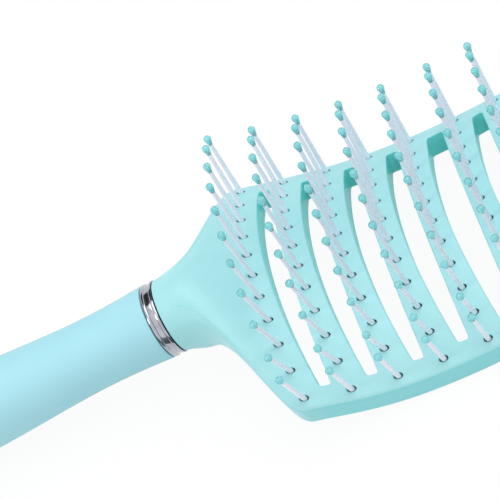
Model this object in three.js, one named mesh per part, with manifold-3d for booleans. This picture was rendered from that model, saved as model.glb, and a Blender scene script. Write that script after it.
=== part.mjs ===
// Vented hair brush: a curved head with arched slots, rows of ball-tipped pins and a round handle.
// Millimetres. X runs along the handle towards the head's tip, Y across the head, Z out of the pins.
// While it is being built, X = 0 is the neck's end at the trim ring and Z = 0 is the handle's axis.
import * as THREE from 'three';
import { mergeVertices } from 'three/addons/utils/BufferGeometryUtils.js';
import Module from 'manifold-3d';

const wasm = await Module();
wasm.setup();

// Driving dimensions: pin rows
const rowCount = 10;
const pinPitch = 6;
const rowPitch = 11;
const middleRowGap = 1.2;
const rowsPastLow = -2.9;
const rowBowRadius = 560;
const pinEdgeMargin = 2.6;
const pinLength = 17.7;
const pinForwardLean = 0.036;
const endPinLeanShare = 0.6;
const pinRootRadius = 0.68;
const pinNeckRadius = 0.48;
const tipRadius = 0.98;
const tipTail = 1.7;

// Driving dimensions: head
const faceArcRadius = 112;
const faceLowX = 72.8;
const faceDrop = 12.5;
const crownRadius = 67;
const neckRadius = 9.1;
const neckBlend = 20;
const neckBellyStart = 6;
const neckBellyEnd = 30;
const bellySquareness = 4.5;
const bellySquareBy = 7;
const neckRun = 3.5;
const flareLead = 4.5;
const shoulderHalfWidth = 34.4;
const widestHalfWidth = 34.5;
const widestRow = 3.4;
const taperInset = 2.7;
const taperRow = 7;
const tipHalfWidth = 24;
const tipLead = 8.5;
const tipCorner = 9;
const tipCornerDrop = 1.8;
const tipBulge = 1.2;
const topEdgeRound = 0.8;
const backEdgeRound = 1.4;
const edgeRoundShare = 0.035;
const neckEdgeDegrees = 82;

// Driving dimensions: vents and the layers inside the head
const slotWidth = 4.8;
const middleSlotWidth = 6.2;
const slotSideDraft = 0.4;
const slotEndDraft = 1.1;
const slotEndTaper = 1.1;
const slotCorner = 0.6;
const slotShift = 0.4;
const slotEndMargin = 4.5;
const slotWall = 0.9;
const sideWall = 1.2;
const faceSkin = 1.9;
const barThickness = 1.8;
const barWidth = 2.2;
const barEndMargin = 0.8;
const coverThickness = 1.85;
const coverLead = 4.6;
const holeHalfLength = 1.25;
const holeHalfWidth = 1;

// Driving dimensions: ring, tang and handle
const ringWidth = 2.8;
const ringRadius = 9.3;
const ringRimWidth = 0.6;
const ringRimSlope = 0.3;
const ringChannelDepth = 0.35;
const tangRadius = 6.2;
const tangLength = 34;
const tangLeadIn = 1.2;
const handleLength = 110;
const handleFrontRadius = 9.25;
const waistRadius = 8.7;
const waistFromFront = 20;
const swellRadius = 10.5;
const swellFromFront = 62;
const buttRadius = 8.2;
const buttFlatRadius = 4.5;
const buttRound = 6.5;
const boreLength = 92;
const boreEndRadius = 4.6;

// Clearances
const seatGap = 0.3;
const barGap = 0.45;
const coverGap = 0.6;
const weldDistance = 1e-4;
const cutOverrun = 4;

// Facets: sides of round pieces, steps along curves, and where the lines of the face run
const pinSides = 5;
const tipRingDegrees = [-15, 35];
const holeSides = 6;
const roundSides = 18;
const ringSides = 24;
const flareSteps = 8;
const fineSteps = 60;
const cornerSteps = 4;
const slotSteps = 6;
const layerSteps = 6;
const handleSteps = 10;
const buttSteps = 4;
const betweenPins = [0.5, 2.5, 4.5];

// Search for the rest pose
const steepestRestDegrees = 12;
const restHalvings = 30;

// Layers below the face, each measured straight down
const barTop = faceSkin + barGap;
const barBottom = barTop + barThickness;
const coverTop = barBottom + coverGap;
const headThickness = coverTop + coverThickness;

// Colours of the mouldings
const mint = { color: 0xa5e3e6, roughness: 0.38, metalness: 0 };
const softMint = { color: 0xaae4ee, roughness: 0.62, metalness: 0 };
const milkyNylon = { color: 0xdfe6f2, roughness: 0.3, metalness: 0 };
const chrome = { color: 0xc9c9d2, roughness: 0.12, metalness: 1 };

// Closed mesh to solid, and back
function toSolid(geometry) {
  const bare = geometry.clone();
  bare.deleteAttribute('normal');
  bare.deleteAttribute('uv');
  const welded = mergeVertices(bare, weldDistance);
  const corners = welded.index.array;
  const kept = [];
  for (let i = 0; i < corners.length; i += 3) {
    const [a, b, c] = [corners[i], corners[i + 1], corners[i + 2]];
    if (a !== b && b !== c && c !== a) kept.push(a, b, c);
  }
  const vertProperties = new Float32Array(welded.attributes.position.array);
  const triVerts = new Uint32Array(kept);
  return new wasm.Manifold(new wasm.Mesh({ numProp: 3, vertProperties, triVerts }));
}

function toGeometry(solid) {
  const { vertProperties, triVerts } = solid.getMesh();
  const geometry = new THREE.BufferGeometry();
  geometry.setAttribute('position', new THREE.BufferAttribute(vertProperties, 3));
  geometry.setIndex(new THREE.BufferAttribute(triVerts, 1));
  geometry.computeVertexNormals();
  return geometry;
}

const unite = (solids) => solids.reduce((whole, next) => whole.add(next));
const cutAll = (solid, cutters) => cutters.reduce((rest, cutter) => rest.subtract(cutter), solid);

// Closed skin between two grids of points: top(i, j) over bottom(i, j)
function skinBetween(rows, columns, top, bottom) {
  const points = [];
  const faces = [];
  const at = (layer, i, j) => (layer * rows + i) * columns + j;
  const quad = (a, b, c, d) => faces.push(a, b, c, a, c, d);
  for (const grid of [top, bottom]) {
    for (let i = 0; i < rows; i++) {
      for (let j = 0; j < columns; j++) points.push(...grid(i, j).toArray());
    }
  }
  for (let i = 0; i + 1 < rows; i++) {
    for (let j = 0; j + 1 < columns; j++) {
      quad(at(0, i, j), at(0, i + 1, j), at(0, i + 1, j + 1), at(0, i, j + 1));
      quad(at(1, i, j), at(1, i, j + 1), at(1, i + 1, j + 1), at(1, i + 1, j));
    }
    quad(at(1, i, 0), at(1, i + 1, 0), at(0, i + 1, 0), at(0, i, 0));
    const last = columns - 1;
    quad(at(0, i, last), at(0, i + 1, last), at(1, i + 1, last), at(1, i, last));
  }
  for (let j = 0; j + 1 < columns; j++) {
    const end = rows - 1;
    quad(at(0, 0, j), at(0, 0, j + 1), at(1, 0, j + 1), at(1, 0, j));
    quad(at(1, end, j), at(1, end, j + 1), at(0, end, j + 1), at(0, end, j));
  }
  const geometry = new THREE.BufferGeometry();
  geometry.setAttribute('position', new THREE.Float32BufferAttribute(points, 3));
  geometry.setIndex(faces);
  return geometry;
}

// Face of the head: an arc along the brush, crowned across it
function faceHeight(x, y) {
  const fromLow = x - faceLowX;
  const arc = faceArcRadius - Math.sqrt(faceArcRadius ** 2 - fromLow ** 2);
  return arc - faceDrop - y ** 2 / (2 * crownRadius);
}

// Place of a row, or of a slot at a half number, along the face's arc: the two middle rows stand wider apart
function rowX(row) {
  const fromMiddle = row - (rowCount + 1) / 2;
  const alongArc = rowsPastLow + fromMiddle * rowPitch + Math.sign(fromMiddle) * (middleRowGap / 2);
  return faceLowX + faceArcRadius * Math.sin(alongArc / faceArcRadius);
}

const bowAt = (y) => y ** 2 / (2 * rowBowRadius);

// Length along X of a unit length along the face's arc
const faceLevel = (x) => Math.sqrt(1 - ((x - faceLowX) / faceArcRadius) ** 2);

const rowNumbers = Array.from({ length: rowCount }, (_, i) => i + 1);
const slotX = rowNumbers.slice(1).map((row) => rowX(row - 0.5) + slotShift);
const middleSlotX = slotX[rowCount / 2 - 1];

// Height of a line of points at x
function heightAlong(points, x) {
  const next = points.findIndex((point) => point.x >= x);
  if (next <= 0) return points[0].y;
  const [a, b] = [points[next - 1], points[next]];
  return THREE.MathUtils.mapLinear(x, a.x, b.x, a.y, b.y);
}

// Plan edge of the neck and head on the +Y side, from the ring to the tip, with a station at each slot
const firstRowX = rowX(1);
const lastRowX = rowX(rowCount);
const widestX = rowX(widestRow);
const taperX = rowX(taperRow);
const taperHalfWidth = widestHalfWidth - taperInset;
const tipX = lastRowX + tipLead;
const cornerX = tipX - tipCorner;

function makeOutline() {
  const shoulder = new THREE.Vector2(firstRowX, shoulderHalfWidth);
  const flare = new THREE.CubicBezierCurve(
    new THREE.Vector2(0, neckRadius),
    new THREE.Vector2(neckRun, neckRadius),
    new THREE.Vector2(shoulder.x - flareLead, shoulder.y),
    shoulder,
  ).getPoints(flareSteps);
  const cornerStart = new THREE.Vector2(cornerX, tipHalfWidth);
  const widest = new THREE.Vector2(widestX, widestHalfWidth);
  const taper = new THREE.Vector2(taperX, taperHalfWidth);
  const fineSide = new THREE.SplineCurve([shoulder, widest, taper, cornerStart]).getPoints(fineSteps);
  const side = slotX.map((x) => new THREE.Vector2(x, heightAlong(fineSide, x)));
  const corner = new THREE.QuadraticBezierCurve(
    cornerStart,
    new THREE.Vector2(tipX - tipBulge, tipHalfWidth - tipCornerDrop),
    new THREE.Vector2(tipX, tipCorner),
  ).getPoints(cornerSteps);
  return [...flare, ...side, ...corner];
}

const outline = makeOutline();

const outlineAt = (x) => heightAlong(outline, x);

// Plan shape inside the head's edge, from startX to the tip, both sides
function insideOutline(startX, inset) {
  const edge = [new THREE.Vector2(startX, outlineAt(startX) - inset)];
  outline.forEach((point, i) => {
    const before = outline[Math.max(i - 1, 0)];
    const after = outline[Math.min(i + 1, outline.length - 1)];
    const along = after.clone().sub(before).normalize();
    const moved = new THREE.Vector2(point.x + along.y * inset, point.y - along.x * inset);
    if (moved.x > startX) edge.push(moved);
  });
  const mirrored = edge.map((point) => new THREE.Vector2(point.x, -point.y)).reverse();
  return new THREE.Shape([...edge, ...mirrored]);
}

// Upright prism through the whole head
function prism(shape) {
  const bottom = -faceDrop - headThickness - widestHalfWidth ** 2 / (2 * crownRadius) - cutOverrun;
  const height = ringRadius - bottom + cutOverrun;
  const geometry = new THREE.ExtrudeGeometry(shape, { depth: height, bevelEnabled: false });
  geometry.translate(0, 0, bottom);
  return toSolid(geometry);
}

// Layer of the head between two depths below the face, with a station at every slot
function layer(topDepth, bottomDepth) {
  const outerY = widestHalfWidth + cutOverrun;
  const innerY = widestHalfWidth - pinEdgeMargin;
  const inner = stripStations(innerY, layerSteps).reverse();
  const acrossY = [-outerY, ...inner, outerY];
  const alongX = [firstRowX - coverLead - cutOverrun, ...slotX, tipX + cutOverrun];
  const at = (depth) => (i, j) => {
    const [x, y] = [alongX[i], acrossY[j]];
    return new THREE.Vector3(x, y, faceHeight(x, y) - depth);
  };
  return toSolid(skinBetween(alongX.length, acrossY.length, at(topDepth), at(bottomDepth)));
}

// Neck and head as one loft: round at the ring, a crowned plate from the first row on
function headLoft() {
  const { lerp, smoothstep, degToRad } = THREE.MathUtils;
  const widestSpan = widestHalfWidth - pinEdgeMargin;
  const pinStep = widestSpan / widestHalfWidth / pinsAside(widestSpan);
  const shares = [...betweenPins.map((pins) => pins * pinStep), 1 - edgeRoundShare, 1];
  const across = [...shares.map((share) => -share).reverse(), ...shares];
  const pointOn = (side, edgeRound, depth) => (i, j) => {
    const { x, y: halfWidth } = outline[i];
    const turn = across[j] * degToRad(neckEdgeDegrees);
    const squareness = side > 0 ? 2 : lerp(2, bellySquareness, smoothstep(x, 0, bellySquareBy));
    const fuller = (value) => Math.sign(value) * neckRadius * Math.abs(value) ** (2 / squareness);
    const plateY = across[j] * halfWidth;
    const atEdge = Math.abs(across[j]) === 1;
    const plateZ = faceHeight(x, plateY) - depth - (atEdge ? side * edgeRound : 0);
    const flare = smoothstep(x, 0, neckBlend);
    const belly = smoothstep(x, neckBellyStart, neckBellyEnd);
    const settle = side > 0 ? flare : lerp(belly, flare, across[j] ** 2);
    const y = lerp(fuller(Math.sin(turn)), plateY, flare);
    const z = lerp(side * fuller(Math.cos(turn)), plateZ, settle);
    return new THREE.Vector3(x, y, z);
  };
  const top = pointOn(1, topEdgeRound, 0);
  const back = pointOn(-1, backEdgeRound, headThickness);
  return toSolid(skinBetween(outline.length, across.length, top, back));
}

// Revolved piece about the X axis, from [x, radius] pairs that start and end on the axis or close
function revolve(profile, sides) {
  const points = profile.map(([x, radius]) => new THREE.Vector2(radius, x));
  const geometry = new THREE.LatheGeometry(points, sides);
  geometry.rotateZ(-Math.PI / 2);
  return geometry;
}

// Half the span of a row's outermost pins, and the pins on each side of its middle one
const rowEndBow = bowAt(widestHalfWidth);
const pinHalfSpan = (row) => outlineAt(rowX(row) + rowEndBow) - pinEdgeMargin;
const pinsAside = (halfSpan) => Math.round(halfSpan / pinPitch);

// Pin places in a row, each on the face with the lean that the crown gives it, the end pins more upright
function pinPlaces(row) {
  const halfSpan = pinHalfSpan(row);
  const aside = pinsAside(halfSpan);
  return Array.from({ length: 2 * aside + 1 }, (_, pin) => {
    const y = halfSpan * (pin / aside - 1);
    const root = new THREE.Vector3(rowX(row) + bowAt(y), y, 0);
    root.z = faceHeight(root.x, y);
    const outermost = pin === 0 || pin === 2 * aside;
    const leanOut = (y / crownRadius) * (outermost ? endPinLeanShare : 1);
    return { root, lean: new THREE.Vector3(pinForwardLean, leanOut, 1).normalize() };
  });
}

// Evenly spaced stations along a strip, from its +Y end to its -Y end
function stripStations(halfLength, steps) {
  return Array.from({ length: steps + 1 }, (_, i) => halfLength * (1 - (2 * i) / steps));
}

// Bowed strip that follows the face between two levels, each with its own depth, stations and half widths
function bowedStrip(x, above, below) {
  const at = ({ depth, stations, halfWidthAt }) => (i, j) => {
    const y = stations[i];
    const edge = halfWidthAt(y) * faceLevel(x);
    const pointX = x + bowAt(y) + (j === 0 ? -edge : edge);
    return new THREE.Vector3(pointX, y, faceHeight(pointX, y) - depth);
  };
  return toSolid(skinBetween(above.stations.length, 2, at(above), at(below)));
}

// Slot through the head, narrower to its ends, wider and shorter towards the back, grown all round by a wall
function slotCutter(x, wall) {
  const width = x === middleSlotX ? middleSlotWidth : slotWidth;
  const level = (depth) => {
    const draft = depth / headThickness;
    const halfLength = outlineAt(x) - slotEndMargin - slotEndDraft * draft + wall;
    const sides = stripStations(halfLength - slotCorner, slotSteps);
    const halfWidthAt = (y) => {
      const corner = Math.max(Math.abs(y) - halfLength + slotCorner, 0);
      return width / 2 + slotSideDraft * draft - slotEndTaper * (y / halfLength) ** 2 + wall - corner;
    };
    return { depth, stations: [halfLength, ...sides, -halfLength], halfWidthAt };
  };
  return bowedStrip(x, level(-cutOverrun), level(headThickness + cutOverrun));
}

const slotCutters = (wall) => slotX.map((x) => slotCutter(x, wall));

// Bar that carries the pins of one row
function rowBar(row) {
  const stations = stripStations(pinHalfSpan(row) + barEndMargin, layerSteps);
  const level = (depth) => ({ depth, stations, halfWidthAt: () => barWidth / 2 });
  return bowedStrip(rowX(row), level(barTop), level(barBottom));
}

// Oval clearance hole for one pin, long side along the brush
function pinHole({ root, lean }) {
  const depth = faceSkin + 2 * cutOverrun;
  const geometry = new THREE.CylinderGeometry(1, 1, depth, holeSides);
  geometry.rotateX(Math.PI / 2);
  geometry.rotateZ(Math.PI / 2);
  geometry.scale(holeHalfLength, holeHalfWidth, 1);
  geometry.applyQuaternion(new THREE.Quaternion().setFromUnitVectors(new THREE.Vector3(0, 0, 1), lean));
  geometry.translate(root.x, root.y, root.z);
  return toSolid(geometry);
}

// Head frame: face, ribs, side walls, neck and tang in one moulding
function makeHeadFrame() {
  const tangEnd = -(ringWidth + 2 * seatGap + tangLength);
  const tang = toSolid(revolve([
    [tangEnd, 0],
    [tangEnd, tangRadius - tangLeadIn],
    [tangEnd + tangLeadIn, tangRadius],
    [cutOverrun, tangRadius],
    [cutOverrun, 0],
  ], roundSides));
  const recessPlan = prism(insideOutline(firstRowX - coverLead, sideWall));
  const recessLayer = layer(faceSkin, headThickness + cutOverrun);
  const backRecess = cutAll(recessLayer.intersect(recessPlan), slotCutters(slotWall));
  const holes = rowNumbers.flatMap((row) => pinPlaces(row).map(pinHole));
  const whole = headLoft().add(tang);
  return cutAll(whole, [...slotCutters(0), backRecess, unite(holes)]);
}

// Back cover: one grid that closes every rib from behind
function makeBackCover() {
  const plan = prism(insideOutline(firstRowX - coverLead + seatGap, sideWall + seatGap));
  return cutAll(layer(coverTop, headThickness).intersect(plan), slotCutters(slotWall + seatGap));
}

// Pin row: a nylon bar with its pins and ball tips
function makePinRow(row) {
  const rootDepth = -(barTop + barBottom) / 2;
  const tipRings = tipRingDegrees.map((degrees) => THREE.MathUtils.degToRad(degrees));
  const pins = pinPlaces(row).map(({ root, lean }) => {
    const profile = [
      [rootDepth, 0],
      [rootDepth, pinRootRadius],
      [pinLength - tipTail, pinNeckRadius],
      ...tipRings.map((turn) => [pinLength + tipRadius * Math.sin(turn), tipRadius * Math.cos(turn)]),
      [pinLength + tipRadius, 0],
    ];
    const geometry = revolve(profile, pinSides);
    geometry.rotateY(-Math.PI / 2);
    geometry.applyQuaternion(new THREE.Quaternion().setFromUnitVectors(new THREE.Vector3(0, 0, 1), lean));
    geometry.translate(root.x, root.y, root.z);
    return toSolid(geometry);
  });
  return unite([rowBar(row), ...pins]);
}

// Trim ring: a band with a rim at each edge, slipped over the tang
function makeTrimRing() {
  const front = -seatGap;
  const rear = front - ringWidth;
  const inside = tangRadius + seatGap;
  const channel = ringRadius - ringChannelDepth;
  return revolve([
    [front, inside],
    [rear, inside],
    [rear, ringRadius],
    [rear + ringRimWidth, ringRadius],
    [rear + ringRimWidth + ringRimSlope, channel],
    [front - ringRimWidth - ringRimSlope, channel],
    [front - ringRimWidth, ringRadius],
    [front, ringRadius],
    [front, inside],
  ], ringSides);
}

// Handle: a moulded grip, waisted behind the ring, with a socket for the tang
const handleFrontX = -(ringWidth + 2 * seatGap);
const handleButtX = handleFrontX - handleLength;

function handleSide() {
  const side = new THREE.SplineCurve([
    new THREE.Vector2(handleFrontX, handleFrontRadius),
    new THREE.Vector2(handleFrontX - waistFromFront, waistRadius),
    new THREE.Vector2(handleFrontX - swellFromFront, swellRadius),
    new THREE.Vector2(handleButtX + buttRound, buttRadius),
  ]).getPoints(handleSteps);
  const butt = new THREE.QuadraticBezierCurve(
    new THREE.Vector2(handleButtX + buttRound, buttRadius),
    new THREE.Vector2(handleButtX, buttRadius),
    new THREE.Vector2(handleButtX, buttFlatRadius),
  ).getPoints(buttSteps);
  return [...side, ...butt.slice(1)];
}

function makeHandle() {
  const bore = tangRadius + seatGap;
  const socketEnd = handleFrontX - tangLength - seatGap;
  const boreEnd = handleFrontX - boreLength;
  const outside = handleSide().map((point) => [point.x, point.y]);
  return revolve([
    [boreEnd, 0],
    [boreEnd, boreEndRadius],
    [socketEnd, bore - tangLeadIn],
    [socketEnd, bore],
    [handleFrontX, bore],
    ...outside,
    [handleButtX, 0],
  ].reverse(), roundSides);
}

// Named mesh with its own material
function piece(name, geometry, finish) {
  const mesh = new THREE.Mesh(geometry, new THREE.MeshStandardMaterial(finish));
  mesh.name = name;
  return mesh;
}

const headFrame = piece('head_frame', toGeometry(makeHeadFrame()), mint);
const handle = piece('handle', makeHandle(), softMint);
const brush = new THREE.Group();
brush.add(headFrame);
brush.add(piece('back_cover', toGeometry(makeBackCover()), mint));
for (const row of rowNumbers) {
  const name = `pin_row_${String(row).padStart(2, '0')}`;
  brush.add(piece(name, toGeometry(makePinRow(row)), milkyNylon));
}
brush.add(piece('trim_ring', makeTrimRing(), chrome));
brush.add(handle);

// Lowest point of a mesh once it is turned about Y
function lowestAfter(mesh, turn) {
  const points = mesh.geometry.attributes.position;
  let lowest = Infinity;
  for (let i = 0; i < points.count; i++) {
    lowest = Math.min(lowest, points.getZ(i) * Math.cos(turn) - points.getX(i) * Math.sin(turn));
  }
  return lowest;
}

// Turn at which the head and the handle touch the table together, the brush lying on its back
function restTurn() {
  let steep = -THREE.MathUtils.degToRad(steepestRestDegrees);
  let level = 0;
  for (let halving = 0; halving < restHalvings; halving++) {
    const middle = (steep + level) / 2;
    if (lowestAfter(handle, middle) < lowestAfter(headFrame, middle)) steep = middle;
    else level = middle;
  }
  return (steep + level) / 2;
}

// Rest pose: on the table, with the origin under the middle of the bounding box
const turn = restTurn();
for (const mesh of brush.children) mesh.geometry.rotateY(turn);
const box = new THREE.Box3().setFromObject(brush);
const middle = box.getCenter(new THREE.Vector3());
for (const mesh of brush.children) mesh.geometry.translate(-middle.x, -middle.y, -box.min.z);

export default brush;
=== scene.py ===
# Vented hair brush, dressed for its picture: head, back lid, pin rows with ball tips, trim ring
# and grip. Pieces are shaped in millimetres in the brush's own frame, with the neck's end at x = 0
# and the handle's axis at z = 0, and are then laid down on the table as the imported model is.
import math

import bpy
from mathutils import Euler, Matrix, Vector


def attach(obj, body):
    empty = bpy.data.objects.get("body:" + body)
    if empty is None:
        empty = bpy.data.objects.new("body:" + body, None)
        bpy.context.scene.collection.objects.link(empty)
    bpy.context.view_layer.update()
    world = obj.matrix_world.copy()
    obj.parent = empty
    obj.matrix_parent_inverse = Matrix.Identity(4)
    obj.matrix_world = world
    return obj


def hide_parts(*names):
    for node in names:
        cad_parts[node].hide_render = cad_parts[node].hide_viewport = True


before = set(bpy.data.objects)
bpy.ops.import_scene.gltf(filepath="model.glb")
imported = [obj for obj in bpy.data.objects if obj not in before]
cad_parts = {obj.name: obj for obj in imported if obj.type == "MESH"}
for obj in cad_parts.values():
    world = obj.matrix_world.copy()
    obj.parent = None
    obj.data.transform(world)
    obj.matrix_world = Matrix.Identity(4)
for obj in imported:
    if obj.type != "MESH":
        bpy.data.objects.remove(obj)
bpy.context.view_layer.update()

MM = 0.001

# Lie of the brush on the table
LIE_TURN_DEG = -6.19381
LIE_SHIFT_MM = (-6.8776, 0.0, 19.7627)

# Face of the head
FACE_ARC_RADIUS = 112.0
FACE_LOW_X = 72.8
FACE_DROP = 12.5
CROWN_RADIUS = 67.0
HEAD_THICKNESS = 6.6

# Rows of pins
ROW_COUNT = 10
ROW_PITCH = 11.0
MIDDLE_ROW_GAP = 1.2
ROWS_PAST_LOW = -2.9
ROW_BOW_RADIUS = 560.0
PIN_PITCH = 6.0
PIN_EDGE_MARGIN = 2.6
PIN_LENGTH = 17.7
PIN_FORWARD_LEAN = 0.036
END_PIN_LEAN_SHARE = 0.6
PIN_ROOT_RADIUS = 0.7
PIN_NECK_RADIUS = 0.5
PIN_IN_TIP = 0.5
TIP_RADIUS = 0.98
TIP_TAIL = 1.7
TIP_TAIL_WALL = 0.05

# Plan of the head and neck
NECK_RADIUS = 9.1
NECK_BLEND = 20.0
NECK_BELLY_START = 6.0
NECK_BELLY_END = 30.0
BELLY_SQUARENESS = 4.5
BELLY_SQUARE_BY = 7.0
NECK_EDGE_DEG = 86.0
NECK_RIDGE_DEG = 26.0
NECK_RIDGE_RISE = 0.3
RIDGE_FULL_BY = 5.0
RIDGE_FADES_FROM = 12.0
NECK_RUN = 12.0
FLARE_LEAD = 6.5
FLARE_EDGE_DROP = 1.3
NECK_SWELL = 0.1
SHOULDER_HALF_WIDTH = 34.4
WIDEST_HALF_WIDTH = 34.5
WIDEST_ROW = 3.4
TAPER_HALF_WIDTH = 31.8
TAPER_ROW = 7
TIP_HALF_WIDTH = 24.0
TIP_LEAD = 8.5
TIP_CORNER = 9.0
TIP_CORNER_DROP = 1.8
TIP_BULGE = 1.2
TOP_ROUND = 0.7
BACK_ROUND = 1.5

# Vents, pin holes and the layers behind the face
SLOT_WIDTH = 4.8
MIDDLE_SLOT_WIDTH = 6.2
SLOT_SIDE_DRAFT = 0.4
SLOT_END_DRAFT = 1.1
SLOT_END_TAPER = 1.1
SLOT_CORNER = 0.7
SLOT_SHIFT = 0.4
SLOT_LEAN = 0.06
SLOT_END_MARGIN = 4.5
SLOT_RIM = 0.35
SLOT_WALL = 0.9
SLOT_OVERCUT = 3.0
SIDE_WALL = 1.2
SEAT_GAP = 0.3
FACE_SKIN = 1.9
BAR_TOP = 2.35
BAR_BOTTOM = 4.15
BAR_WIDTH = 2.2
BAR_END_MARGIN = 0.8
BAR_BEVEL = 0.25
LID_TOP = 4.75
LID_LEAD = 4.6
HOLE_HALF_LENGTH = 1.1
HOLE_HALF_WIDTH = 0.71
HOLE_RIM = 0.12
HOLE_OVERCUT = 1.2
RIM_LEAD = 0.4
POCKET_DEPTH = 17.0
WALL_BLOCK_TOP = 0.5
WALL_BLOCK_OVERCUT = 9.0

# Ring, tang and grip
RING_FRONT = -0.3
RING_REAR = -3.1
RING_RADIUS = 9.3
RING_CHANNEL = 0.35
TANG_RADIUS = 6.2
TANG_ROOT = 2.0
TANG_END = -37.4
TANG_CHAMFER = 1.2
GRIP_FRONT = -3.4
GRIP_BUTT = -113.4
GRIP_FRONT_RADIUS = 9.25
WAIST_RADIUS = 8.7
WAIST_FROM_FRONT = 20.0
SWELL_RADIUS = 10.5
SWELL_FROM_FRONT = 62.0
BUTT_RADIUS = 8.2
BUTT_FLAT_RADIUS = 4.5
BUTT_ROUND = 6.5

# Where the head's upright walls get painted shade, a deeper teal, in the vents and round the plate
WALL_SHADE_START = 12.0
UPRIGHT_LIMIT = 0.5
SLOT_SHADE_REACH = 3.8
SLOT_SHADE_MARGIN = 1.0

# Fineness of the shapes
WELD = 0.002
SAME_PLACE = 0.01
FLARE_STEPS = 26
SIDE_STEPS = 48
TIP_CORNER_STEPS = 14
FACE_COLUMNS = 15
EDGE_TURNS_DEG = (0, 15, 30, 45, 60, 75, 90)
RIM_TURNS_DEG = (60, 30, 0)
SLOT_STEPS = 16
SLOT_CORNER_TURNS = (0, 0.39, 0.785, 1.18, math.pi / 2)
HOLE_SIDES = 16
LID_SLICES = 34
LID_STRIP = 3.0
LID_STRIPS_ASIDE = 11
BAR_SLICES = 9
PIN_SIDES = 10
PIN_SHARES = (0, 0.35, 0.7, 1)
TIP_SIDES = 12
TIP_TURNS = (-0.55, -0.1, 0.35, 0.8, 1.2)
TANG_SIDES = 48
RING_SIDES = 96
GRIP_SIDES = 80
GRIP_STEPS = 45
BUTT_STEPS = 10
SMOOTH_DEG = 38
TIP_SMOOTH_DEG = 80


# Curves of the design
def face_height(x, y):
    from_low = x - FACE_LOW_X
    arc = FACE_ARC_RADIUS - math.sqrt(FACE_ARC_RADIUS ** 2 - from_low ** 2)
    return arc - FACE_DROP - y * y / (2 * CROWN_RADIUS)


def row_x(row):
    from_middle = row - (ROW_COUNT + 1) / 2
    along = ROWS_PAST_LOW + from_middle * ROW_PITCH
    if from_middle:
        along += math.copysign(MIDDLE_ROW_GAP / 2, from_middle)
    return FACE_LOW_X + FACE_ARC_RADIUS * math.sin(along / FACE_ARC_RADIUS)


def bow(y):
    return y * y / (2 * ROW_BOW_RADIUS)


def face_level(x):
    return math.sqrt(1 - ((x - FACE_LOW_X) / FACE_ARC_RADIUS) ** 2)


def smoothstep(x, low, high):
    t = min(max((x - low) / (high - low), 0.0), 1.0)
    return t * t * (3 - 2 * t)


def lerp(a, b, t):
    return a + (b - a) * t


def cubic(a, b, c, d, t):
    s = 1 - t
    return a * s ** 3 + b * 3 * s * s * t + c * 3 * s * t * t + d * t ** 3


def quadratic(a, b, c, t):
    s = 1 - t
    return a * s * s + b * 2 * s * t + c * t * t


def spline(points, steps):
    """Smooth line through the points."""
    last = len(points) - 1
    line = []
    for k in range(steps + 1):
        place = last * k / steps
        i = min(int(place), last - 1)
        t = place - i
        p0, p1, p2, p3 = points[max(i - 1, 0)], points[i], points[i + 1], points[min(i + 2, last)]
        v0, v1 = (p2 - p0) * 0.5, (p3 - p1) * 0.5
        bend = (p1 * 2 - p2 * 2 + v0 + v1) * t ** 3 + (p2 * 3 - p1 * 3 - v0 * 2 - v1) * t * t
        line.append(bend + v0 * t + p1)
    return line


FIRST_ROW_X = row_x(1)
TIP_X = row_x(ROW_COUNT) + TIP_LEAD
SLOT_XS = [row_x(k + 0.5) + SLOT_SHIFT for k in range(1, ROW_COUNT)]
MIDDLE_SLOT_X = SLOT_XS[ROW_COUNT // 2 - 1]


def head_outline():
    """Plan edge of neck and head on the +Y side, from the ring to the tip."""
    shoulder = Vector((FIRST_ROW_X, SHOULDER_HALF_WIDTH))
    start = Vector((0.0, NECK_RADIUS))
    leave = Vector((NECK_RUN, NECK_RADIUS))
    arrive = Vector((FIRST_ROW_X - FLARE_LEAD, SHOULDER_HALF_WIDTH))
    flare = [cubic(start, leave, arrive, shoulder, k / FLARE_STEPS) for k in range(FLARE_STEPS)]
    corner = Vector((TIP_X - TIP_CORNER, TIP_HALF_WIDTH))
    widest = Vector((row_x(WIDEST_ROW), WIDEST_HALF_WIDTH))
    taper = Vector((row_x(TAPER_ROW), TAPER_HALF_WIDTH))
    side = spline([shoulder, widest, taper, corner], SIDE_STEPS)
    bend = Vector((TIP_X - TIP_BULGE, TIP_HALF_WIDTH - TIP_CORNER_DROP))
    end = Vector((TIP_X, TIP_CORNER))
    turns = range(1, TIP_CORNER_STEPS + 1)
    return flare + side + [quadratic(corner, bend, end, k / TIP_CORNER_STEPS) for k in turns]


OUTLINE = head_outline()


def half_width(x):
    for a, b in zip(OUTLINE, OUTLINE[1:]):
        if x <= b.x:
            return lerp(a.y, b.y, (x - a.x) / (b.x - a.x))
    return OUTLINE[-1].y


def pin_half_span(row):
    return half_width(row_x(row) + bow(WIDEST_HALF_WIDTH)) - PIN_EDGE_MARGIN


def pin_places(row):
    """Root and direction of each pin in a row, the end pins more upright than the crown is."""
    span = pin_half_span(row)
    aside = round(span / PIN_PITCH)
    places = []
    for k in range(-aside, aside + 1):
        y = span * k / aside
        x = row_x(row) + bow(y)
        out = y / CROWN_RADIUS * (END_PIN_LEAN_SHARE if abs(k) == aside else 1.0)
        lean = Vector((PIN_FORWARD_LEAN, out, 1.0)).normalized()
        places.append((Vector((x, y, face_height(x, y))), lean))
    return places


# Small tools of the bench
def deselect():
    if bpy.context.object and bpy.context.object.mode != "OBJECT":
        bpy.ops.object.mode_set(mode="OBJECT")
    bpy.ops.object.select_all(action="DESELECT")


def take(piece):
    deselect()
    piece.select_set(True)
    bpy.context.view_layer.objects.active = piece


def edit_all(piece, kind="VERT"):
    take(piece)
    bpy.ops.object.mode_set(mode="EDIT")
    bpy.ops.mesh.select_mode(type=kind)
    bpy.ops.mesh.select_all(action="SELECT")


def leave_edit():
    bpy.ops.object.mode_set(mode="OBJECT")


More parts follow.
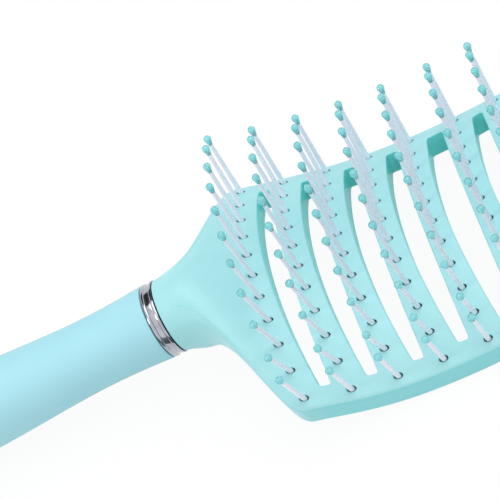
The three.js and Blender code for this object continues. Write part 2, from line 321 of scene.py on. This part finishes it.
def tidy(piece):
    """Weld the seams and turn every face outwards."""
    edit_all(piece)
    bpy.ops.mesh.remove_doubles(threshold=WELD)
    bpy.ops.mesh.normals_make_consistent(inside=False)
    leave_edit()
    return piece


def joined(pieces, name):
    deselect()
    for piece in pieces:
        piece.select_set(True)
    bpy.context.view_layer.objects.active = pieces[0]
    bpy.ops.object.join()
    pieces[0].name = name
    return pieces[0]


def carve(piece, cutter, operation="DIFFERENCE"):
    """Cut or join with another solid, which is used up."""
    take(piece)
    modifier = piece.modifiers.new("carve", "BOOLEAN")
    modifier.operation = operation
    modifier.solver = "EXACT"
    modifier.object = cutter
    bpy.ops.object.modifier_apply(modifier=modifier.name)
    bpy.data.objects.remove(cutter)
    return piece


def turned(name, profile, steps):
    """Solid of revolution about the X axis, spun from a line of (x, radius) points."""
    deselect()
    bpy.ops.mesh.primitive_plane_add(size=1)
    piece = bpy.context.object
    piece.name = name
    bpy.ops.object.mode_set(mode="EDIT")
    bpy.ops.mesh.select_mode(type="VERT")
    bpy.ops.mesh.select_all(action="SELECT")
    bpy.ops.mesh.merge(type="CENTER")
    here = Vector((0.0, 0.0, 0.0))
    for k, (x, radius) in enumerate(profile):
        there = Vector((x, 0.0, radius))
        if k == 0:
            bpy.ops.transform.translate(value=there - here)
        else:
            bpy.ops.mesh.extrude_vertices_move(TRANSFORM_OT_translate={"value": there - here})
        here = there
    bpy.ops.mesh.select_all(action="SELECT")
    bpy.ops.mesh.spin(steps=steps, angle=2 * math.pi, center=(0, 0, 0), axis=(1, 0, 0))
    leave_edit()
    return tidy(piece)


def lofted(name, rings):
    """Closed solid through rings of points, from the top one down, extruded ring by ring."""
    deselect()
    bpy.ops.mesh.primitive_circle_add(vertices=len(rings[0]), radius=1, fill_type="NGON")
    piece = bpy.context.object
    piece.name = name
    for vertex, point in zip(piece.data.vertices, rings[0]):
        vertex.co = point
    edit_all(piece, "FACE")
    for above, ring in zip(rings, rings[1:]):
        bpy.ops.mesh.extrude_region_move(TRANSFORM_OT_translate={"value": (0, 0, 0)})
        leave_edit()
        at = {tuple(round(c, 3) for c in point): k for k, point in enumerate(above)}
        for vertex in piece.data.vertices:
            if vertex.select:
                vertex.co = ring[at[tuple(round(c, 3) for c in vertex.co)]]
        bpy.ops.object.mode_set(mode="EDIT")
    leave_edit()
    return tidy(piece)


def rim_levels(radius):
    """Steps of a rounded rim, as (z, outward growth), from above the face down to the wall."""
    turns = [math.radians(a) for a in RIM_TURNS_DEG]
    steps = [(radius * (math.sin(a) - 1), radius * (1 - math.cos(a))) for a in turns]
    slope = (steps[0][1] - radius) / steps[0][0]
    return [(RIM_LEAD, radius + RIM_LEAD * slope)] + steps


def slot_ring(x, z, grow):
    """Ring of a vent at one depth: narrower to its ends, wider to the back."""
    draft = max(-z, 0.0) / HEAD_THICKNESS
    width = MIDDLE_SLOT_WIDTH if x == MIDDLE_SLOT_X else SLOT_WIDTH
    half_long = half_width(x) - SLOT_END_MARGIN - SLOT_END_DRAFT * draft + grow
    straight = half_long - SLOT_CORNER

    def half_wide(y):
        return width / 2 + SLOT_SIDE_DRAFT * draft - SLOT_END_TAPER * (y / half_long) ** 2 + grow

    end = half_wide(straight) - SLOT_CORNER
    bends = [(SLOT_CORNER * math.cos(a), SLOT_CORNER * math.sin(a)) for a in SLOT_CORNER_TURNS]
    ys = [lerp(straight, -straight, k / SLOT_STEPS) for k in range(1, SLOT_STEPS)]
    line = [(end + c, straight + n) for c, n in bends]
    line += [(-end - n, straight + c) for c, n in bends]
    line += [(-half_wide(y), y) for y in ys]
    line += [(-end - c, -straight - n) for c, n in bends]
    line += [(end + n, -straight - c) for c, n in bends]
    line += [(half_wide(y), y) for y in reversed(ys)]
    middle = x + SLOT_LEAN * min(z, 0.0)
    return [Vector((middle + bow(y) + aside * face_level(x), y, z)) for aside, y in line]


def vents():
    """Cutters of all the vents, with rounded rims at the face."""
    levels = rim_levels(SLOT_RIM) + [(-HEAD_THICKNESS - SLOT_OVERCUT, 0.0)]
    solids = [lofted("vent", [slot_ring(x, z, grow) for z, grow in levels]) for x in SLOT_XS]
    return joined(solids, "vents")


def vent_walls(wall):
    """The vents grown by a wall, to keep material round them."""
    levels = (-WALL_BLOCK_TOP, -HEAD_THICKNESS - WALL_BLOCK_OVERCUT)
    solids = [lofted("wall", [slot_ring(x, z, wall) for z in levels]) for x in SLOT_XS]
    return joined(solids, "walls")


def oval_ring(root, lean, z, grow):
    """Ring of a pin's clearance hole at one depth, leaning with the pin."""
    centre = root + lean * (z / lean.z)
    long, wide = HOLE_HALF_LENGTH + grow, HOLE_HALF_WIDTH + grow
    turns = [2 * math.pi * k / HOLE_SIDES for k in range(HOLE_SIDES)]
    ring = [(centre.x - long * math.sin(a), centre.y + wide * math.cos(a)) for a in turns]
    return [Vector((x, y, z)) for x, y in ring]


def pin_holes():
    """Cutters of all the pins' clearance holes."""
    levels = rim_levels(HOLE_RIM) + [(-FACE_SKIN - HOLE_OVERCUT, 0.0)]
    solids = []
    for row in range(1, ROW_COUNT + 1):
        for root, lean in pin_places(row):
            solids.append(lofted("hole", [oval_ring(root, lean, z, grow) for z, grow in levels]))
    return joined(solids, "holes")


def plan_ring(start_x, inset, z):
    """Ring of points inside the head's edge, from start_x to the tip and back."""
    edge = [Vector((start_x, half_width(start_x) - inset, z))]
    for k, point in enumerate(OUTLINE):
        along = (OUTLINE[min(k + 1, len(OUTLINE) - 1)] - OUTLINE[max(k - 1, 0)]).normalized()
        x, y = point.x + along.y * inset, point.y - along.x * inset
        if x > start_x + 0.1:
            edge.append(Vector((x, y, z)))
    mirrored = [Vector((v.x, -v.y, v.z)) for v in edge]
    return list(reversed(edge)) + mirrored


def sliced(piece, xs, ys):
    """Cut the faces along lines of constant x and y, so that the piece can be curved."""
    for axis, places in ((0, xs), (1, ys)):
        for place in places:
            edit_all(piece)
            point, normal = [0.0, 0.0, 0.0], [0.0, 0.0, 0.0]
            point[axis], normal[axis] = place, 1.0
            bpy.ops.mesh.bisect(plane_co=point, plane_no=normal)
            leave_edit()


def curve_over(piece):
    """Lower a piece that was shaped flat onto the curved face."""
    for vertex in piece.data.vertices:
        vertex.co.z += face_height(vertex.co.x, vertex.co.y)
    return piece


LIE_TURN = Matrix.Rotation(math.radians(LIE_TURN_DEG), 4, "Y")
LIE = Matrix.Translation(Vector(LIE_SHIFT_MM) * MM) @ LIE_TURN @ Matrix.Scale(MM, 4)


def lay_down(piece, finish, nodes, smooth_deg=SMOOTH_DEG):
    """Shade a piece, lay it on the table in metres and hang it on the brush."""
    take(piece)
    piece.matrix_world = LIE
    bpy.ops.object.transform_apply(location=True, rotation=True, scale=True)
    bpy.ops.object.shade_smooth_by_angle(angle=math.radians(smooth_deg))
    normals = piece.modifiers.new("normals", "WEIGHTED_NORMAL")
    normals.keep_sharp = True
    bpy.ops.object.modifier_apply(modifier=normals.name)
    piece.data.materials.clear()
    piece.data.materials.append(finish)
    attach(piece, "root")
    if nodes:
        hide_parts(*nodes)


# Finishes: scales of noise in cells per metre, depths in metres
BROAD_CLOUD = 38
FINE_CLOUD = 210
CLOUD_LOW, CLOUD_HIGH = 0.3, 0.7
SKIN_DEPTH = 0.00006
PLATING_CLOUD = 420
PLATING_SKIN = 1800
PLATING_DEPTH = 0.00003


def new_finish(name):
    finish = bpy.data.materials.new(name)
    finish.use_nodes = True
    nodes, links = finish.node_tree.nodes, finish.node_tree.links
    place = nodes.new("ShaderNodeTexCoord").outputs["Object"]
    return finish, nodes, links, nodes["Principled BSDF"], place


def speckle(nodes, links, place, scale, detail):
    """Noise of a given scale on the piece's own coordinates."""
    noise = nodes.new("ShaderNodeTexNoise")
    noise.inputs["Scale"].default_value = scale
    noise.inputs["Detail"].default_value = detail
    links.new(place, noise.inputs["Vector"])
    return noise.outputs["Fac"]


def shades(nodes, links, factor, dark, light):
    """Colour between two close shades."""
    ramp = nodes.new("ShaderNodeValToRGB")
    low, high = ramp.color_ramp.elements
    low.position, high.position = CLOUD_LOW, CLOUD_HIGH
    low.color, high.color = (*dark, 1), (*light, 1)
    links.new(factor, ramp.inputs["Fac"])
    return ramp.outputs["Color"]


def span(nodes, links, factor, low, high):
    """Value spread between two ends."""
    spread = nodes.new("ShaderNodeMapRange")
    spread.inputs["From Min"].default_value = CLOUD_LOW
    spread.inputs["From Max"].default_value = CLOUD_HIGH
    spread.inputs["To Min"].default_value = low
    spread.inputs["To Max"].default_value = high
    links.new(factor, spread.inputs["Value"])
    return spread.outputs["Result"]


def grainy(nodes, links, shader, factor, strength, depth):
    """Fine relief of the mould's skin."""
    bump = nodes.new("ShaderNodeBump")
    bump.inputs["Strength"].default_value = strength
    bump.inputs["Distance"].default_value = depth
    links.new(factor, bump.inputs["Height"])
    links.new(bump.outputs["Normal"], shader.inputs["Normal"])


def fade_along(nodes, links, place, start, end):
    """0 to 1 along the brush between two places in metres."""
    split = nodes.new("ShaderNodeSeparateXYZ")
    fade = nodes.new("ShaderNodeMapRange")
    fade.inputs["From Min"].default_value = start
    fade.inputs["From Max"].default_value = end
    links.new(place, split.inputs[0])
    links.new(split.outputs["X"], fade.inputs["Value"])
    return fade.outputs["Result"]


def moulded_plastic(name, dark, light, gloss, rough, grain, strength, fade=None):
    """Two close shades in clouds or along the brush, a roughness that wanders and a fine skin."""
    finish, nodes, links, shader, place = new_finish(name)
    if fade:
        broad = fade_along(nodes, links, place, *fade)
    else:
        broad = speckle(nodes, links, place, BROAD_CLOUD, 2)
    cloud = speckle(nodes, links, place, FINE_CLOUD, 3)
    skin = speckle(nodes, links, place, grain, 2)
    links.new(shades(nodes, links, broad, dark, light), shader.inputs["Base Color"])
    links.new(span(nodes, links, cloud, gloss, rough), shader.inputs["Roughness"])
    grainy(nodes, links, shader, skin, strength, SKIN_DEPTH)
    return finish, shader


head_mint, head_shader = moulded_plastic(
    "head_mint", (0.35, 0.72, 0.755), (0.39, 0.76, 0.79), 0.3, 0.42, 1500, 0.06)
head_shader.inputs["Specular IOR Level"].default_value = 0.4
# Painted shade: a deeper, more saturated teal for the vents' upright walls, standing in for the
# shade and bounced light inside them.
vent_painted_shade, vent_painted_shade_shader = moulded_plastic(
    "vent_painted_shade", (0.21, 0.82, 0.8), (0.24, 0.85, 0.83), 0.35, 0.45, 1500, 0.06)
vent_painted_shade_shader.inputs["Specular IOR Level"].default_value = 0.25
# Painted shade: the head's outer upright walls turn from the face's teal to a deeper teal along the
# brush, from the neck onwards.
wall_painted_shade, wall_painted_shade_shader = moulded_plastic(
    "wall_painted_shade", (0.37, 0.74, 0.772), (0.265, 0.73, 0.765), 0.3, 0.42, 1500, 0.06,
    fade=(0.006, 0.028))
wall_painted_shade_shader.inputs["Specular IOR Level"].default_value = 0.4
grip_mint, grip_shader = moulded_plastic(
    "grip_mint", (0.355, 0.69, 0.775), (0.39, 0.73, 0.81), 0.5, 0.62, 2600, 0.16)
grip_shader.inputs["IOR"].default_value = 1.45
tip_mint, tip_shader = moulded_plastic(
    "tip_mint", (0.31, 0.82, 0.84), (0.35, 0.86, 0.88), 0.1, 0.16, 900, 0.02)
tip_shader.inputs["Transmission Weight"].default_value = 0.5
pin_nylon, pin_shader = moulded_plastic(
    "pin_nylon", (0.86, 0.87, 0.97), (0.9, 0.91, 0.99), 0.22, 0.32, 900, 0.02)
pin_shader.inputs["Specular IOR Level"].default_value = 0.6


def plated_ring():
    """Bright plating, faintly cloudy, with a fine skin."""
    finish, nodes, links, shader, place = new_finish("ring_chrome")
    cloud = speckle(nodes, links, place, PLATING_CLOUD, 3)
    grey = shades(nodes, links, cloud, (0.39, 0.4, 0.45), (0.52, 0.53, 0.58))
    links.new(grey, shader.inputs["Base Color"])
    links.new(span(nodes, links, cloud, 0.07, 0.16), shader.inputs["Roughness"])
    skin = speckle(nodes, links, place, PLATING_SKIN, 2)
    grainy(nodes, links, shader, skin, 0.05, PLATING_DEPTH)
    shader.inputs["Metallic"].default_value = 1.0
    return finish


ring_chrome = plated_ring()


# Head: neck and plate
def head_columns(half_wide, edge_round):
    """Distances across the head, as shares of its half width, crowded at the rounded edge."""
    edge = [edge_round * (1 - math.sin(math.radians(a))) for a in EDGE_TURNS_DEG]
    columns = range(1 - FACE_COLUMNS, FACE_COLUMNS)
    inner = [k / FACE_COLUMNS * (1 - edge_round / half_wide) for k in columns]
    side = [1 - distance / half_wide for distance in edge]
    return [-share for share in reversed(side)] + inner + side


def neck_turn(side, half_wide, share, edge_round):
    """Angle of a column round the neck.

    On top, the face narrows to the ridges and the edge spreads below them.
    """
    if side < 0:
        return share * math.radians(NECK_EDGE_DEG)
    rounding = 1 - (1 - abs(share)) * half_wide / edge_round
    if rounding <= 0:
        angle = NECK_RIDGE_DEG * abs(share) / (1 - edge_round / half_wide)
    else:
        angle = lerp(NECK_RIDGE_DEG, NECK_EDGE_DEG, math.asin(min(rounding, 1.0)) / (math.pi / 2))
    return math.copysign(math.radians(angle), share)


def head_point(side, x, half_wide, share, edge_round, depth):
    """Point of the head's top or back skin: round at the ring, a crowned plate from row 1 on."""
    turn = neck_turn(side, half_wide, share, edge_round)
    square = 2.0 if side > 0 else lerp(2.0, BELLY_SQUARENESS, smoothstep(x, 0, BELLY_SQUARE_BY))
    radius = NECK_RADIUS * (1 + NECK_SWELL * smoothstep(x, 0, NECK_BLEND / 2))
    across = math.copysign(abs(math.sin(turn)) ** (2 / square), share) * radius
    height = abs(math.cos(turn)) ** (2 / square) * radius
    flare = smoothstep(x, 0, NECK_BLEND)
    belly = smoothstep(x, NECK_BELLY_START, NECK_BELLY_END)
    settle = flare if side > 0 else lerp(belly, flare, share ** 2)
    inward = max(edge_round - (1 - abs(share)) * half_wide, 0.0)
    drop = edge_round - math.sqrt(max(edge_round ** 2 - inward ** 2, 0.0))
    plate_y = share * half_wide
    sag = FLARE_EDGE_DROP * share ** 2 * smoothstep(x, 0, NECK_BLEND / 2)
    sag *= 1 - smoothstep(x, NECK_BLEND / 2, FIRST_ROW_X + FLARE_LEAD)
    if side > 0 and abs((1 - abs(share)) * half_wide - edge_round) < SAME_PLACE:
        ridge = smoothstep(x, 0, RIDGE_FULL_BY) * (1 - smoothstep(x, RIDGE_FADES_FROM, FIRST_ROW_X))
        sag -= NECK_RIDGE_RISE * ridge
    plate_z = face_height(x, plate_y) - depth - side * drop
    y = lerp(across, plate_y, flare)
    z = lerp(side * height, plate_z, settle) - sag
    return Vector((x, y, z - face_height(x, y)))


def head_blank():
    """Neck and plate as one solid, kept flat: its heights are counted from the face."""
    across = len(head_columns(WIDEST_HALF_WIDTH, TOP_ROUND)) - 1
    along = len(OUTLINE) - 1
    deselect()
    bpy.ops.mesh.primitive_grid_add(x_subdivisions=along, y_subdivisions=across, size=2)
    blank = bpy.context.object
    blank.name = "head_shell"
    edit_all(blank)
    bpy.ops.mesh.duplicate()
    bpy.ops.mesh.flip_normals()
    leave_edit()
    for vertex in blank.data.vertices:
        i = round((vertex.co.x + 1) / 2 * along)
        j = round((vertex.co.y + 1) / 2 * across)
        if vertex.select:
            side, edge_round, depth = -1, BACK_ROUND, HEAD_THICKNESS
        else:
            side, edge_round, depth = 1, TOP_ROUND, 0.0
        x, half_wide = OUTLINE[i]
        share = head_columns(half_wide, edge_round)[j]
        vertex.co = head_point(side, x, half_wide, share, edge_round, depth)
    edit_all(blank, "EDGE")
    bpy.ops.mesh.select_all(action="DESELECT")
    bpy.ops.mesh.select_non_manifold(
        use_wire=False, use_multi_face=False, use_non_contiguous=False, use_verts=False)
    bpy.ops.mesh.bridge_edge_loops()
    leave_edit()
    return tidy(blank)


def paint_shade_on_walls(shell):
    """Paint shade on the upright walls, in the vents and round the plate, as deeper teal finishes.
    """
    shell.data.materials.append(vent_painted_shade)
    shell.data.materials.append(wall_painted_shade)
    brush_frame = LIE.inverted()
    for face in shell.data.polygons:
        x, y, _ = brush_frame @ face.center
        if x < WALL_SHADE_START or abs(face.normal.z) > UPRIGHT_LIMIT:
            continue
        beside = min(abs(x - bow(y) - slot_x) for slot_x in SLOT_XS)
        slot_end = half_width(x) - SLOT_END_MARGIN + SLOT_SHADE_MARGIN
        in_vent = beside < SLOT_SHADE_REACH and abs(y) < slot_end
        # Upright faces get painted shade: the vent finish inside the vents, the wall finish
        # elsewhere.
        face.material_index = 1 if in_vent else 2


def head_shell():
    shell = head_blank()
    carve(shell, vents())
    lead = FIRST_ROW_X - LID_LEAD
    levels = (-FACE_SKIN, -POCKET_DEPTH)
    pocket = lofted("pocket", [plan_ring(lead, SIDE_WALL, z) for z in levels])
    carve(shell, carve(pocket, vent_walls(SLOT_WALL)))
    carve(shell, pin_holes())
    curve_over(shell)
    profile = [(TANG_ROOT, 0.0), (TANG_ROOT, TANG_RADIUS), (TANG_END + TANG_CHAMFER, TANG_RADIUS),
               (TANG_END, TANG_RADIUS - TANG_CHAMFER), (TANG_END, 0.0)]
    carve(shell, turned("tang", profile, TANG_SIDES), "UNION")
    lay_down(shell, head_mint, ["head_frame"])
    paint_shade_on_walls(shell)


def back_lid():
    lead = FIRST_ROW_X - LID_LEAD + SEAT_GAP
    levels = (-LID_TOP, -HEAD_THICKNESS)
    lid = lofted("back_lid", [plan_ring(lead, SIDE_WALL + SEAT_GAP, z) for z in levels])
    xs = [lerp(lead, TIP_X, k / LID_SLICES) for k in range(1, LID_SLICES)]
    ys = [k * LID_STRIP for k in range(-LID_STRIPS_ASIDE, LID_STRIPS_ASIDE + 1)]
    sliced(lid, xs, ys)
    carve(lid, vent_walls(SLOT_WALL + SEAT_GAP))
    lay_down(curve_over(lid), head_mint, ["back_cover"])


# Pin rows
def pin_model():
    """One tapered pin along X, from inside its bar to inside its ball tip."""
    foot, neck = -(BAR_TOP + BAR_BOTTOM) / 2, PIN_LENGTH - PIN_IN_TIP
    shaft = [(lerp(foot, neck, t), lerp(PIN_ROOT_RADIUS, PIN_NECK_RADIUS, t)) for t in PIN_SHARES]
    return turned("pin", [(foot, 0.0)] + shaft + [(neck, 0.0)], PIN_SIDES)


def tip_model():
    """One ball tip along X with its short tail over the pin's end."""
    ball = [(PIN_LENGTH + TIP_RADIUS * math.sin(a), TIP_RADIUS * math.cos(a)) for a in TIP_TURNS]
    start = PIN_LENGTH - TIP_TAIL
    tail = [(start, 0.0), (start, PIN_NECK_RADIUS + TIP_TAIL_WALL)]
    return turned("tip", tail + ball + [(PIN_LENGTH + TIP_RADIUS, 0.0)], TIP_SIDES)


def placed_copy(model, root, lean):
    copy = model.copy()
    copy.data = model.data.copy()
    bpy.context.collection.objects.link(copy)
    turn = Vector((1, 0, 0)).rotation_difference(lean).to_matrix().to_4x4()
    copy.data.transform(Matrix.Translation(root) @ turn)
    return copy


def row_bar(row):
    half_long = pin_half_span(row) + BAR_END_MARGIN
    deselect()
    bpy.ops.mesh.primitive_cube_add(size=1, location=(0, 0, -(BAR_TOP + BAR_BOTTOM) / 2))
    bar = bpy.context.object
    bar.scale = (BAR_WIDTH * face_level(row_x(row)), 2 * half_long, BAR_BOTTOM - BAR_TOP)
    bpy.ops.object.transform_apply(location=True, rotation=True, scale=True)
    edit_all(bar, "EDGE")
    bpy.ops.mesh.bevel(offset=BAR_BEVEL, segments=2)
    leave_edit()
    sliced(bar, [], [half_long * k / BAR_SLICES for k in range(1 - BAR_SLICES, BAR_SLICES)])
    for vertex in bar.data.vertices:
        vertex.co.x += row_x(row) + bow(vertex.co.y)
    return curve_over(bar)


def pin_rows():
    pin, tip = pin_model(), tip_model()
    for row in range(1, ROW_COUNT + 1):
        places = pin_places(row)
        pins = [row_bar(row)] + [placed_copy(pin, root, lean) for root, lean in places]
        tips = [placed_copy(tip, root, lean) for root, lean in places]
        name = f"{row:02d}"
        lay_down(joined(pins, "pins_" + name), pin_nylon, ["pin_row_" + name])
        lay_down(joined(tips, "ball_tips_" + name), tip_mint, [], TIP_SMOOTH_DEG)
    bpy.data.objects.remove(pin)
    bpy.data.objects.remove(tip)


# Ring and grip
def trim_ring():
    crest, floor = RING_RADIUS, RING_RADIUS - RING_CHANNEL
    half = [(0.0, crest - 0.22), (0.06, crest - 0.06), (0.2, crest), (0.5, crest),
            (0.64, crest - 0.06), (0.74, crest - 0.2), (0.84, floor), (1.1, floor + 0.03)]
    rear = [(RING_REAR + x, radius) for x, radius in half]
    front = [(RING_FRONT - x, radius) for x, radius in reversed(half)]
    inside = TANG_RADIUS + SEAT_GAP
    loop = [(RING_REAR, inside)] + rear + front + [(RING_FRONT, inside), (RING_REAR, inside)]
    lay_down(turned("trim_band", loop, RING_SIDES), ring_chrome, ["trim_ring"])


def grip():
    stations = [(GRIP_FRONT, GRIP_FRONT_RADIUS), (GRIP_FRONT - WAIST_FROM_FRONT, WAIST_RADIUS),
                (GRIP_FRONT - SWELL_FROM_FRONT, SWELL_RADIUS),
                (GRIP_BUTT + BUTT_ROUND, BUTT_RADIUS)]
    front_edge = [(GRIP_FRONT, GRIP_FRONT_RADIUS - 0.35),
                  (GRIP_FRONT - 0.12, GRIP_FRONT_RADIUS - 0.1),
                  (GRIP_FRONT - 0.4, GRIP_FRONT_RADIUS)]
    side = [Vector(point) for point in front_edge]
    side += spline([Vector(point) for point in stations], GRIP_STEPS)[1:]
    start = Vector((GRIP_BUTT + BUTT_ROUND, BUTT_RADIUS))
    corner = Vector((GRIP_BUTT, BUTT_RADIUS))
    flat = Vector((GRIP_BUTT, BUTT_FLAT_RADIUS))
    side += [quadratic(start, corner, flat, k / BUTT_STEPS) for k in range(1, BUTT_STEPS + 1)]
    bore = TANG_RADIUS + SEAT_GAP
    socket = TANG_END - SEAT_GAP
    profile = [(socket, 0.0), (socket, bore), (GRIP_FRONT, bore)]
    profile += [tuple(point) for point in side] + [(GRIP_BUTT, 0.0)]
    lay_down(turned("grip", profile, GRIP_SIDES), grip_mint, ["handle"])


head_shell()
back_lid()
pin_rows()
trim_ring()
grip()


# Camera at the picture's angle
CAMERA_LENS_MM = 124.85
CAMERA_SENSOR_MM = 36.0
CAMERA_CLIP_START = 0.01
CAMERA_PLACE = (0.067397, -0.24728, 0.335469)
CAMERA_TURN_DEG = (35.20082, 19.50083, -13.88948)


def photo_camera():
    data = bpy.data.cameras.new("camera")
    data.lens = CAMERA_LENS_MM
    data.sensor_width = CAMERA_SENSOR_MM
    data.clip_start = CAMERA_CLIP_START
    camera = bpy.data.objects.new("camera", data)
    camera.location = CAMERA_PLACE
    camera.rotation_euler = Euler([math.radians(a) for a in CAMERA_TURN_DEG])
    bpy.context.scene.collection.objects.link(camera)
    bpy.context.scene.camera = camera


# Studio: pale floor, soft light and a white surround
FLOOR_SIZE = 4
FLOOR_Z = -0.0003
WHITE = (1, 1, 1, 1)
FLOOR_PAINT = (0.9, 0.9, 0.9, 1)
CARD_PAINT = (0.02, 0.02, 0.025, 1)
BRUSH_MIDDLE = (0.0, 0.0, 0.02)


def seen_directly(nodes, links):
    """1 for what the camera sees straight, in a mirror or through glass."""
    path = nodes.new("ShaderNodeLightPath")
    first, both = nodes.new("ShaderNodeMath"), nodes.new("ShaderNodeMath")
    first.operation = both.operation = "MAXIMUM"
    links.new(path.outputs["Is Camera Ray"], first.inputs[0])
    links.new(path.outputs["Is Glossy Ray"], first.inputs[1])
    links.new(first.outputs[0], both.inputs[0])
    links.new(path.outputs["Is Transmission Ray"], both.inputs[1])
    return both.outputs[0]


def white_surround(strength):
    world = bpy.data.worlds.new("surround")
    bpy.context.scene.world = world
    world.use_nodes = True
    nodes, links = world.node_tree.nodes, world.node_tree.links
    light = nodes["Background"]
    light.inputs["Color"].default_value = WHITE
    light.inputs["Strength"].default_value = strength
    white = nodes.new("ShaderNodeBackground")
    white.inputs["Color"].default_value = WHITE
    mix = nodes.new("ShaderNodeMixShader")
    links.new(seen_directly(nodes, links), mix.inputs[0])
    links.new(light.outputs[0], mix.inputs[1])
    links.new(white.outputs[0], mix.inputs[2])
    links.new(mix.outputs[0], nodes["World Output"].inputs["Surface"])


def pale_floor(whiteness):
    deselect()
    bpy.ops.mesh.primitive_plane_add(size=FLOOR_SIZE, location=(0, 0, FLOOR_Z))
    floor = bpy.context.object
    floor.name = "floor"
    paint = bpy.data.materials.new("floor_white")
    paint.use_nodes = True
    nodes, links = paint.node_tree.nodes, paint.node_tree.links
    diffuse = nodes["Principled BSDF"]
    diffuse.inputs["Base Color"].default_value = FLOOR_PAINT
    diffuse.inputs["Roughness"].default_value = 0.9
    glow = nodes.new("ShaderNodeEmission")
    share = nodes.new("ShaderNodeMath")
    share.operation = "MULTIPLY"
    share.inputs[1].default_value = whiteness
    mix = nodes.new("ShaderNodeMixShader")
    links.new(seen_directly(nodes, links), share.inputs[0])
    links.new(share.outputs[0], mix.inputs[0])
    links.new(diffuse.outputs[0], mix.inputs[1])
    links.new(glow.outputs[0], mix.inputs[2])
    links.new(mix.outputs[0], nodes["Material Output"].inputs["Surface"])
    floor.data.materials.append(paint)


def aimed(place, aim):
    """Turn of a lamp or card that looks from its place to an aim."""
    return (Vector(aim) - Vector(place)).to_track_quat("-Z", "Y").to_euler()


def dark_card(name, place, aim, size):
    """Dark card that shows only in reflections, so that the plated ring has something to mirror."""
    deselect()
    bpy.ops.mesh.primitive_plane_add(size=1, location=place)
    card = bpy.context.object
    card.name = name
    card.scale = (*size, 1)
    card.rotation_euler = aimed(place, aim)
    paint = bpy.data.materials.new(name + "_paint")
    paint.use_nodes = True
    paint.node_tree.nodes["Principled BSDF"].inputs["Base Color"].default_value = CARD_PAINT
    card.data.materials.append(paint)
    card.visible_camera = card.visible_diffuse = False
    card.visible_shadow = card.visible_transmission = False


def soft_box(name, place, aim, size, power):
    data = bpy.data.lights.new(name, "AREA")
    data.shape = "RECTANGLE"
    data.size, data.size_y = size
    data.energy = power
    lamp = bpy.data.objects.new(name, data)
    lamp.location = place
    lamp.rotation_euler = aimed(place, aim)
    bpy.context.scene.collection.objects.link(lamp)


photo_camera()
white_surround(0.62)
pale_floor(0.93)
soft_box("key", (0.2, 0.15, 0.85), (0.02, 0.0, 0.02), (0.9, 0.9), 4.5)
soft_box("edge", (-0.65, -0.2, 0.45), BRUSH_MIDDLE, (0.2, 0.2), 1.35)
dark_card("high_card", (-0.05, 0.42, 0.42), BRUSH_MIDDLE, (0.7, 0.5))
dark_card("low_card", (-0.05, -0.225, 0.001), (-0.05, -0.225, 1.0), (0.9, 0.36))

bpy.context.scene.view_settings.view_transform = "Standard"
